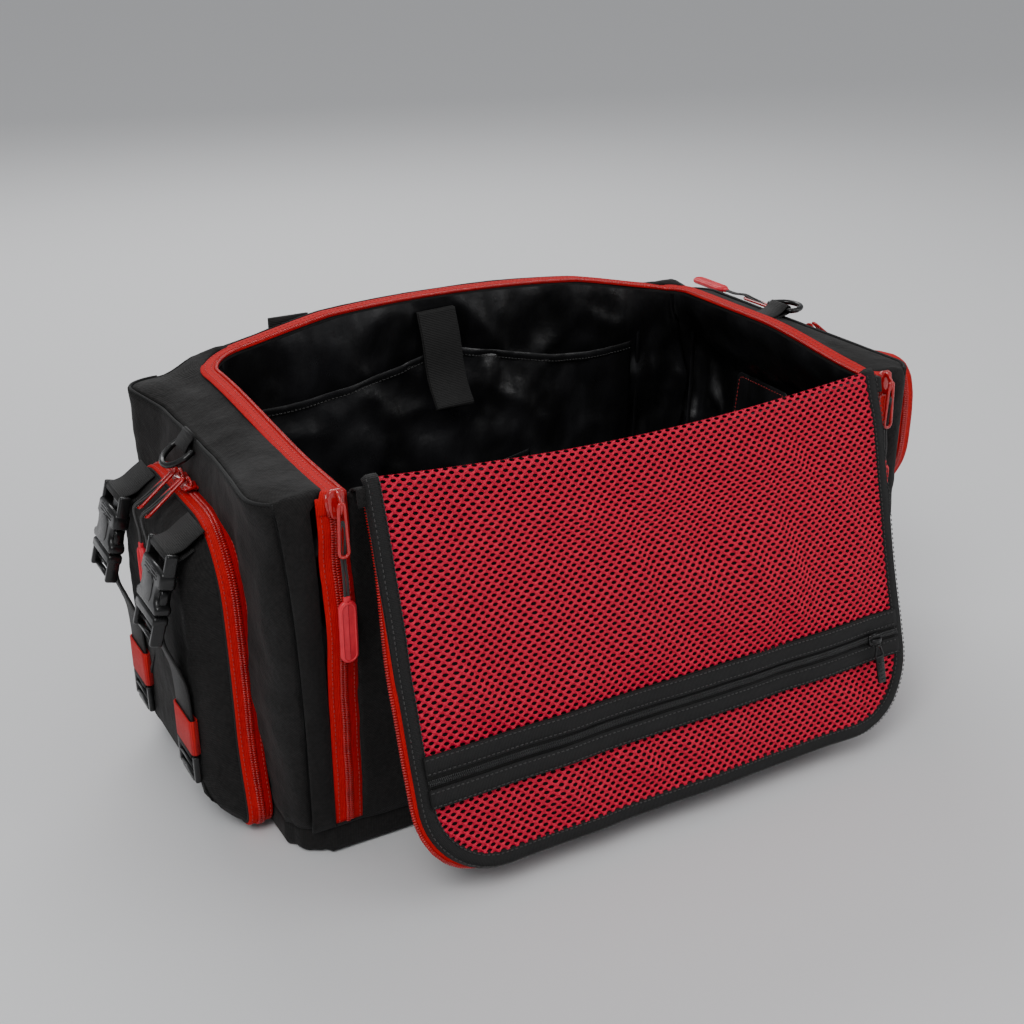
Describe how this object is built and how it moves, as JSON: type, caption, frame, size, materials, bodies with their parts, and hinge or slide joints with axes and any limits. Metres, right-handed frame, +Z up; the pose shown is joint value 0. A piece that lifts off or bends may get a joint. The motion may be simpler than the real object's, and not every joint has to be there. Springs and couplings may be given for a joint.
{
  "type": "duffel bag",
  "caption": "Soft duffel bag with a wide zipped mouth, a fold-down mesh-pocket lid, and a zipped pocket with buckled compression straps on each end.",
  "frame": {"origin": "middle of the underside of the base", "axes": "+X along the bag, -Y the front that the lid hangs over, +Z up"},
  "size_m": [0.7398, 0.4342, 0.328],
  "materials": {
    "cordura": "matte black woven nylon",
    "lining": "glossy black satin lining",
    "webbing": "black webbing and ribbed binding",
    "red_tape": "red zip tape and nylon coil",
    "red_mesh": "crimson open mesh",
    "red_rubber": "satin moulded red",
    "red_metal": "gloss red paint",
    "black_plastic": "satin black moulded plastic",
    "board": "plain black sheet"
  },
  "bodies": {
    "bag": {"base_panel": "cordura", "base_board": "board", "front_panel": "cordura", "back_panel": "cordura", "left_end_panel": "cordura", "right_end_panel": "cordura", "left_shoulder_panel": "cordura", "right_shoulder_panel": "cordura", "front_zip_left": "red_tape", "front_zip_right": "red_tape", "main_zip_tape": "red_tape", "lining": "lining", "inner_pockets": "lining", "inner_strap": "webbing", "left_pocket": "cordura", "left_pocket_zip": "red_tape", "left_ring_tab": "webbing", "left_front_strap": "webbing", "left_front_buckle_socket": "black_plastic", "left_back_strap": "webbing", "left_back_buckle_socket": "black_plastic", "right_pocket": "cordura", "right_pocket_zip": "red_tape", "right_ring_tab": "webbing", "right_front_strap": "webbing", "right_front_buckle_socket": "black_plastic", "right_back_strap": "webbing", "right_back_buckle_socket": "black_plastic"},
    "lid": {"lid_panel": "cordura", "lid_mesh": "red_mesh", "lid_binding": "webbing", "lid_zip_tape": "red_tape", "lid_pocket_zip": "webbing"},
    "lid_pocket_slider": {"lid_pocket_slider": "black_plastic"},
    "lid_pocket_pull": {"lid_pocket_pull": "black_plastic"},
    "back_handle": {"back_handle": "webbing"},
    "left_main_slider": {"left_main_slider": "red_metal"},
    "left_main_pull": {"left_main_hook": "red_metal", "left_main_tab": "red_rubber"},
    "left_pocket_slider_a": {"left_pocket_slider_a": "red_metal"},
    "left_pocket_pull_a": {"left_pocket_pull_a": "red_rubber"},
    "left_pocket_slider_b": {"left_pocket_slider_b": "red_metal"},
    "left_pocket_pull_b": {"left_pocket_pull_b": "red_rubber"},
    "left_ring": {"left_ring": "black_plastic"},
    "left_front_buckle_plug": {"left_front_buckle_plug": "black_plastic"},
    "left_front_ladder_lock": {"left_front_ladder_lock": "black_plastic"},
    "left_back_buckle_plug": {"left_back_buckle_plug": "black_plastic"},
    "left_back_ladder_lock": {"left_back_ladder_lock": "black_plastic"},
    "right_main_slider": {"right_main_slider": "red_metal"},
    "right_main_pull": {"right_main_hook": "red_metal", "right_main_tab": "red_rubber"},
    "right_pocket_slider_a": {"right_pocket_slider_a": "red_metal"},
    "right_pocket_pull_a": {"right_pocket_pull_a": "red_rubber"},
    "right_pocket_slider_b": {"right_pocket_slider_b": "red_metal"},
    "right_pocket_pull_b": {"right_pocket_pull_b": "red_rubber"},
    "right_ring": {"right_ring": "black_plastic"},
    "right_front_buckle_plug": {"right_front_buckle_plug": "black_plastic"},
    "right_front_ladder_lock": {"right_front_ladder_lock": "black_plastic"},
    "right_back_buckle_plug": {"right_back_buckle_plug": "black_plastic"},
    "right_back_ladder_lock": {"right_back_ladder_lock": "black_plastic"}
  },
  "joints": [
    {"name": "lid_hinge", "type": "hinge", "parent": "bag", "child": "lid", "pos_m": [0, -0.165, 0.306], "axis": [-1, 0, 0], "range_deg": [0, 247]},
    {"name": "lid_pocket_slider_slide", "type": "slide", "parent": "lid", "child": "lid_pocket_slider", "axis": [-1, 0, 0], "range_m": [0, 0.392]},
    {"name": "lid_pocket_pull_swing", "type": "hinge", "parent": "lid_pocket_slider", "child": "lid_pocket_pull", "pos_m": [0.196, -0.24211, 0.09482], "axis": [-1, 0, 0], "range_deg": [0, 140]},
    {"name": "back_handle_swing", "type": "hinge", "parent": "bag", "child": "back_handle", "pos_m": [0, 0.1593, 0.313], "axis": [1, 0, 0], "range_deg": [0, 180]},
    {"name": "left_main_slider_slide", "type": "slide", "parent": "bag", "child": "left_main_slider", "axis": [0, 0, -1], "range_m": [0, 0.165]},
    {"name": "left_main_pull_swing", "type": "hinge", "parent": "left_main_slider", "child": "left_main_pull", "pos_m": [-0.252, -0.1678, 0.297], "axis": [-1, 0, 0], "range_deg": [0, 120]},
    {"name": "left_pocket_slider_a_slide", "type": "slide", "parent": "bag", "child": "left_pocket_slider_a", "axis": [0, 1, 0], "range_m": [0, 0.018]},
    {"name": "left_pocket_pull_a_swing", "type": "hinge", "parent": "left_pocket_slider_a", "child": "left_pocket_pull_a", "pos_m": [-0.3114, 0.022, 0.2663], "axis": [0, 1, 0], "range_deg": [0, 60]},
    {"name": "left_pocket_slider_b_slide", "type": "slide", "parent": "bag", "child": "left_pocket_slider_b", "axis": [0, -1, 0], "range_m": [0, 0.018]},
    {"name": "left_pocket_pull_b_swing", "type": "hinge", "parent": "left_pocket_slider_b", "child": "left_pocket_pull_b", "pos_m": [-0.3114, 0.002, 0.2663], "axis": [0, 1, 0], "range_deg": [0, 90]},
    {"name": "left_ring_swing", "type": "hinge", "parent": "bag", "child": "left_ring", "pos_m": [-0.301, 0.02, 0.2855], "axis": [0, 1, 0], "range_deg": [-10, 90]},
    {"name": "left_front_buckle_plug_slide", "type": "slide", "parent": "bag", "child": "left_front_buckle_plug", "axis": [-0.2756, 0, -0.9613], "range_m": [0, 0.034]},
    {"name": "left_front_ladder_lock_tilt", "type": "hinge", "parent": "bag", "child": "left_front_ladder_lock", "pos_m": [-0.3423, -0.048, 0.06525], "axis": [0, 1, 0], "range_deg": [0, 45]},
    {"name": "left_back_buckle_plug_slide", "type": "slide", "parent": "bag", "child": "left_back_buckle_plug", "axis": [-0.2756, 0, -0.9613], "range_m": [0, 0.034]},
    {"name": "left_back_ladder_lock_tilt", "type": "hinge", "parent": "bag", "child": "left_back_ladder_lock", "pos_m": [-0.3423, 0.072, 0.06525], "axis": [0, 1, 0], "range_deg": [0, 45]},
    {"name": "right_main_slider_slide", "type": "slide", "parent": "bag", "child": "right_main_slider", "axis": [0, 0, -1], "range_m": [0, 0.165]},
    {"name": "right_main_pull_swing", "type": "hinge", "parent": "right_main_slider", "child": "right_main_pull", "pos_m": [0.252, -0.1678, 0.297], "axis": [-1, 0, 0], "range_deg": [0, 120]},
    {"name": "right_pocket_slider_a_slide", "type": "slide", "parent": "bag", "child": "right_pocket_slider_a", "axis": [0, -1, 0], "range_m": [0, 0.042]},
    {"name": "right_pocket_pull_a_swing", "type": "hinge", "parent": "right_pocket_slider_a", "child": "right_pocket_pull_a", "pos_m": [0.306, 0.056, 0.2998], "axis": [1, 0, 0], "range_deg": [0, 100]},
    {"name": "right_pocket_slider_b_slide", "type": "slide", "parent": "bag", "child": "right_pocket_slider_b", "axis": [0, -1, 0], "range_m": [0, 0.014]},
    {"name": "right_pocket_pull_b_swing", "type": "hinge", "parent": "right_pocket_slider_b", "child": "right_pocket_pull_b", "pos_m": [0.3114, -0.002, 0.2973], "axis": [0, -1, 0], "range_deg": [0, 110]},
    {"name": "right_ring_swing", "type": "hinge", "parent": "bag", "child": "right_ring", "pos_m": [0.2945, 0.03, 0.308], "axis": [0, -1, 0], "range_deg": [0, 170]},
    {"name": "right_front_buckle_plug_slide", "type": "slide", "parent": "bag", "child": "right_front_buckle_plug", "axis": [0.2756, 0, -0.9613], "range_m": [0, 0.034]},
    {"name": "right_front_ladder_lock_tilt", "type": "hinge", "parent": "bag", "child": "right_front_ladder_lock", "pos_m": [0.3423, -0.048, 0.09625], "axis": [0, -1, 0], "range_deg": [0, 45]},
    {"name": "right_back_buckle_plug_slide", "type": "slide", "parent": "bag", "child": "right_back_buckle_plug", "axis": [0.2756, 0, -0.9613], "range_m": [0, 0.034]},
    {"name": "right_back_ladder_lock_tilt", "type": "hinge", "parent": "bag", "child": "right_back_ladder_lock", "pos_m": [0.3423, 0.072, 0.09625], "axis": [0, -1, 0], "range_deg": [0, 45]}
  ]
}
